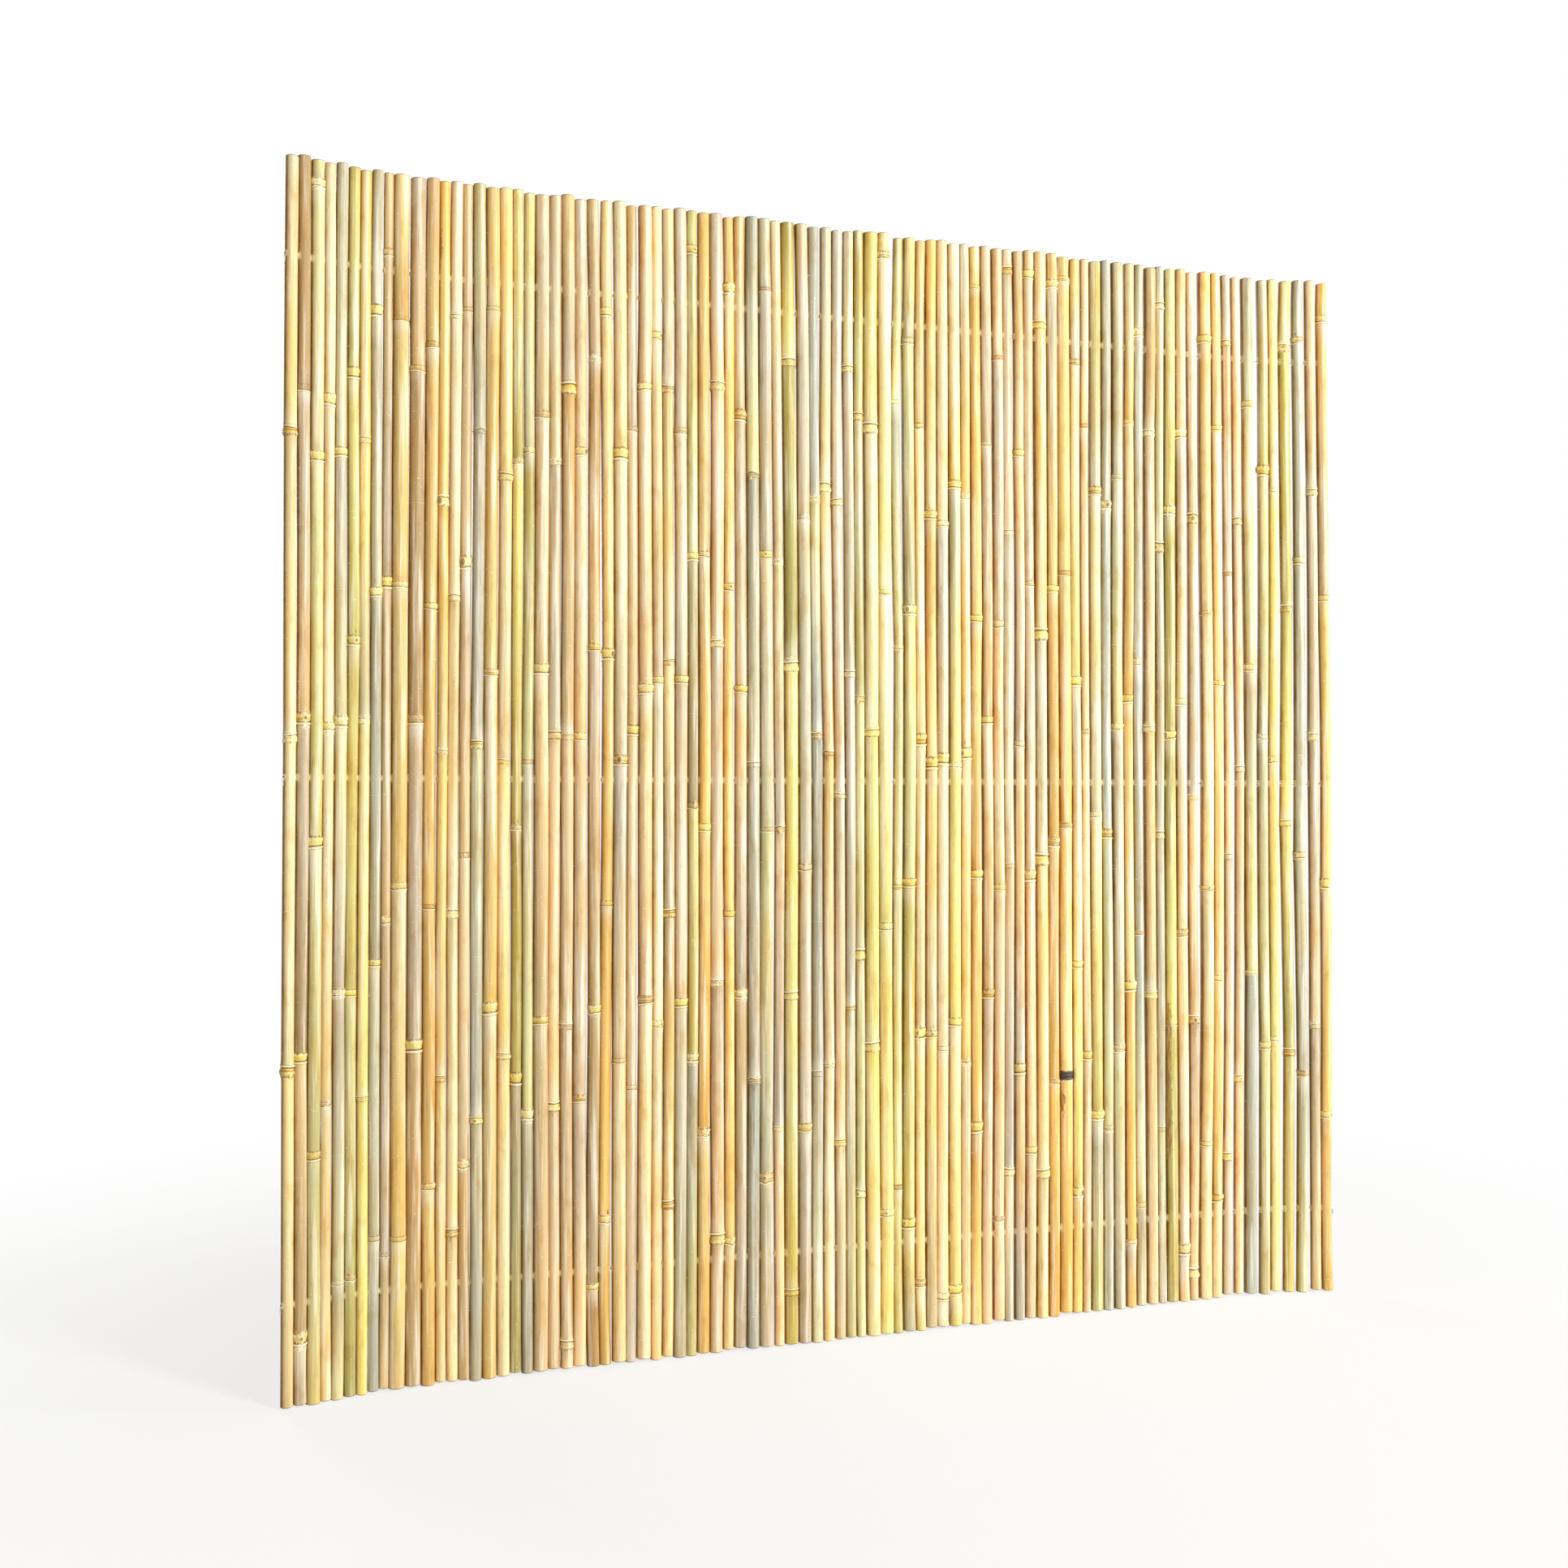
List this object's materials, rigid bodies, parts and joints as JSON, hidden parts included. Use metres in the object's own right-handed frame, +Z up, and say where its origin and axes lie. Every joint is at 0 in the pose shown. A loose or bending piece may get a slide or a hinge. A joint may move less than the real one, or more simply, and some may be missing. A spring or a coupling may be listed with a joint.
{
  "type": "rolled bamboo fence",
  "caption": "Rolled bamboo fence panel: whole bamboo poles side by side, drilled and strung on three galvanised wires, stood up and unrolled.",
  "frame": {"origin": "bottom centre of the whole fence, on the ground", "axes": "+X along the fence to the right seen from the front, -Y to the front, where both ends curl to, +Z up along the poles"},
  "size_m": [1.8294, 0.0628, 1.8297],
  "materials": {
    "bamboo": "satin natural skin, straw to gold with olive, tan and grey poles",
    "galvanised_wire": "dull zinc"
  },
  "bodies": {
    "root": {"bottom_wire": "galvanised_wire", "middle_wire": "galvanised_wire", "poles_01_02": "bamboo", "poles_03_04": "bamboo", "poles_05_06": "bamboo", "poles_07_08": "bamboo", "poles_09_10": "bamboo", "poles_11_12": "bamboo", "poles_13_14": "bamboo", "poles_15_16": "bamboo", "poles_17_18": "bamboo", "poles_19_20": "bamboo", "poles_21_22": "bamboo", "poles_23_24": "bamboo", "poles_25_26": "bamboo", "poles_27_28": "bamboo", "poles_29_30": "bamboo", "poles_31_32": "bamboo", "poles_33_34": "bamboo", "poles_35_36": "bamboo", "poles_37_38": "bamboo", "poles_39_40": "bamboo", "poles_41_42": "bamboo", "poles_43_44": "bamboo", "poles_45_46": "bamboo", "poles_47_48": "bamboo", "poles_49_50": "bamboo", "poles_51_52": "bamboo", "poles_53_54": "bamboo", "poles_55_56": "bamboo", "poles_57_58": "bamboo", "poles_59_60": "bamboo", "poles_61_62": "bamboo", "poles_63_64": "bamboo", "poles_65_66": "bamboo", "poles_67_68": "bamboo", "poles_69_70": "bamboo", "poles_71_72": "bamboo", "poles_73_74": "bamboo", "poles_75_76": "bamboo", "poles_77_78": "bamboo", "poles_79_80": "bamboo", "poles_81_82": "bamboo", "poles_83_84": "bamboo", "poles_85_86": "bamboo", "poles_87_88": "bamboo", "top_wire": "galvanised_wire"}
  },
  "joints": []
}
